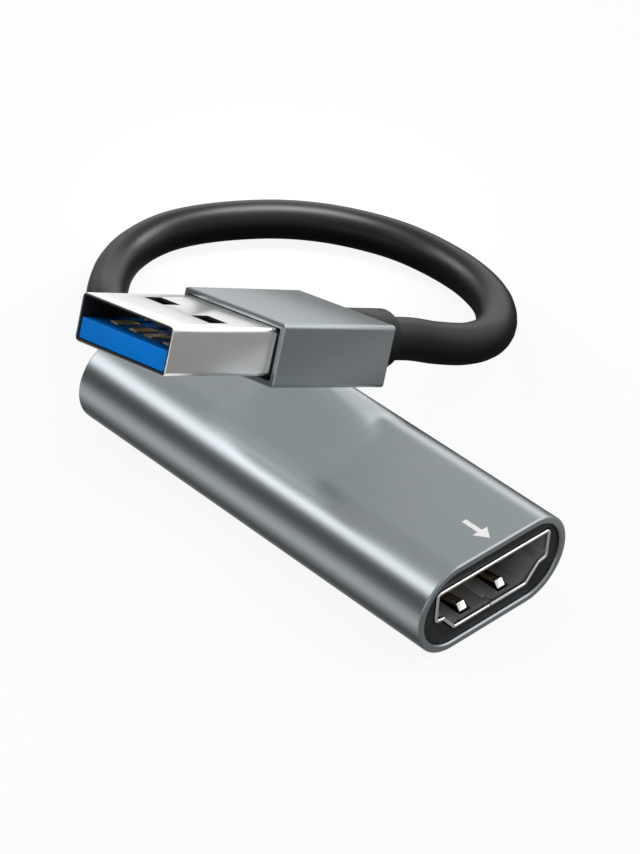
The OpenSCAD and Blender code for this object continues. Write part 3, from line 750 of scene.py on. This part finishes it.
def dress_board():
    """Finishes for the nodes inside the sleeve and the plug, whose shapes are right as they are."""
    finishes = {
        "main_board": board_laminate(), "surge_arrays": RESIN, "capture_chip": RESIN, "crystal": NICKEL,
        "flash_chip": RESIN, "flash_leads": TIN, "regulator": RESIN, "regulator_leads": TIN,
        "power_inductors": ferrite(), "capacitors": CERAMIC, "resistors": RESIN, "wire_pads": GOLD,
        "plug_spacer": PLASTIC,
    }
    wires = {"red": (0.5, 0.02, 0.02), "white": (0.8, 0.8, 0.78), "green": (0.02, 0.25, 0.08),
             "black": (0.015, 0.015, 0.015)}
    for tint, colour in wires.items():
        skin = wire_skin("wire_" + tint, colour)
        finishes["wire_" + tint] = finishes["plug_wire_" + tint] = skin
    for node, material in finishes.items():
        mesh = frame["nodes"][node].data
        mesh.materials.clear()
        mesh.materials.append(material)


# Studio


def floor_glow(f):
    """Brightness of the floor in reflections: pale on the left, in front and behind, dark on the right, with
    painted contact shade close to the sleeve's left side.
    """
    x, y = (f.axis(f.place(scale=(MM, MM, MM)), k) for k in (0, 1))
    left = (1 - x.step(-9.5, -8)) * y.step(-27, -21)
    pool = x.step(-44, -26) * 0.62 + x.band(-19, -14, 3) * 0.28
    # The pale pool beside the sleeve fades and darkens close to it: painted contact shade.
    beside = pool * (1 - x.step(-15.5, -9.5)) - x.step(-14, -9.5) * 0.1 - 0.1
    right = x.step(11, 17) * y.step(-16, -8) * (1 - y.step(38, 50))
    ahead = x.step(12, 20) * y.band(-39, -23, 5)
    behind = x.step(5, 30) * (y.step(38, 52) * 0.45 + y.step(70, 92) * 0.22)
    return 0.28 + left * beside - right * 0.23 + ahead * 0.26 + behind


def make_floor():
    h = FLOOR_HALF
    corners = [(x, y, -FLOOR_DROP) for x, y in ((-h, -h), (h, -h), (h, h), (-h, h))]
    floor = add("floor", mesh_of("floor", corners, [(0, 1, 2, 3)]))
    f = Finish("pale_floor", Roughness=0.9)
    f.colour((0.8, 0.8, 0.8, 1))
    seen = f.node("ShaderNodeLightPath", output="Is Camera Ray")
    paper = f.node("ShaderNodeEmission", None, {"Color": (1, 1, 1, 1), "Strength": 1.0})
    glow = f.node("ShaderNodeEmission", None, {"Color": floor_glow(f), "Strength": 1.0})
    pale = f.node("ShaderNodeMixShader", None, {0: 0.9, 1: Value(f, f.shader.outputs[0]), 2: paper})
    mixed = f.node("ShaderNodeMixShader", None, {0: seen, 1: glow, 2: pale})
    f.put(f.tree.nodes["Material Output"].inputs[0], mixed)
    floor.data.materials.append(f.material)


class Sky(Nodes):
    """The studio round the part, as patches of light by azimuth and elevation in degrees."""

    def __init__(self):
        world = bpy.data.worlds.new("studio")
        world.use_nodes = True
        bpy.context.scene.world = world
        super().__init__(world.node_tree)
        way = self.node("ShaderNodeTexCoord", output="Generated")
        x, y, z = (self.node("ShaderNodeSeparateXYZ", None, {"Vector": way}, k) for k in (0, 1, 2))
        self.azimuth = x.maths("ARCTAN2", y, x) * math.degrees(1)
        self.elevation = z.maths("ARCSINE", z) * math.degrees(1)

    def patch(self, left, right, low, high, edge=4):
        return self.azimuth.band(left, right, edge) * self.elevation.band(low, high, edge)

    def shine(self, strength):
        """The strength in all reflections; the camera itself sees plain white."""
        seen = self.node("ShaderNodeLightPath", output="Is Camera Ray")
        background = self.tree.nodes["Background"]
        background.inputs["Strength"].default_value = 1.0
        self.put(background.inputs["Color"], strength * (1 - seen) + seen)


def make_sky():
    sky = Sky()
    long_side = sky.patch(105, 152, 29.5, 47, 3)
    dark_side = sky.patch(115, 165, -14, 27, 3)
    before_plug = sky.patch(166, 200, -5, 20, 3) + sky.patch(-200, -150, -5, 20, 3)
    above_plug = sky.patch(162, 200, 27, 75) + sky.patch(-200, -150, 27, 75)
    right_strip = sky.patch(10, 62, 5, 24, 4)
    front = sky.patch(-55, 4, 14, 58)
    back_light = sky.patch(4, 30, 46, 60, 4)
    pale = long_side * 2.8 + right_strip * 1.25 + front * 1.4 + back_light * 1.5 + before_plug * 0.9
    sky.shine(0.72 + pale - dark_side * 0.68 - above_plug * 0.6)


def soft_light(name, place, length, width, glow):
    """A rectangle of even brightness that shines down its own Z axis."""
    light = bpy.data.lights.new(name, "AREA")
    light.shape = "RECTANGLE"
    light.size, light.size_y = length * MM, width * MM
    light.energy = glow * math.pi * light.size * light.size_y
    lamp = bpy.data.objects.new(name, light)
    lamp.matrix_world = place
    bpy.context.scene.collection.objects.link(lamp)


def make_lights():
    """Lights under the plug, which keep the sleeve pale there, and one over the back of the cord."""
    for start, end, right, left, glow in FILLS:
        middle = Vector(((start + end) / 2, (right + left) / 2, -FILL_DROP)) * MM
        soft_light("fill", PLUG_TO_FRAME @ Matrix.Translation(middle), end - start, left - right, glow)
    up, along = Vector(CORD_LIGHT_UP).normalized(), Vector(CORD_LIGHT_ALONG)
    across = up.cross(along).normalized()
    place = Matrix((across.cross(up), across, up)).transposed().to_4x4()
    place.translation = Vector(CORD_LIGHT_AT) * MM
    soft_light("cord_light", place, *CORD_LIGHT_SIZE, CORD_LIGHT_GLOW)


def make_camera():
    camera = bpy.data.objects.new("camera", bpy.data.cameras.new("camera"))
    camera.location = Vector(CAMERA_PLACE) * MM
    camera.rotation_euler = [math.radians(a) for a in CAMERA_TURN]
    camera.data.lens = CAMERA_LENS
    camera.data.sensor_width = CAMERA_SENSOR
    camera.data.clip_start = 0.01
    bpy.context.scene.collection.objects.link(camera)
    bpy.context.scene.camera = camera
    bpy.context.scene.view_settings.view_transform = "Standard"


make_camera()
make_floor()
make_sky()
make_lights()
make_sleeve()
make_arrow()
refined("front_bezel", "bezel", 0.06, PLASTIC, "black_plastic")
refined("rear_cap", "cap", 0.06, PLASTIC, "black_plastic")
make_socket()
make_socket_contacts()
relief = refined("strain_relief", "cord_relief", 0.12, JACKET, "cord_jacket", segments=3)
make_cord([relief, *make_plug()])
dress_board()
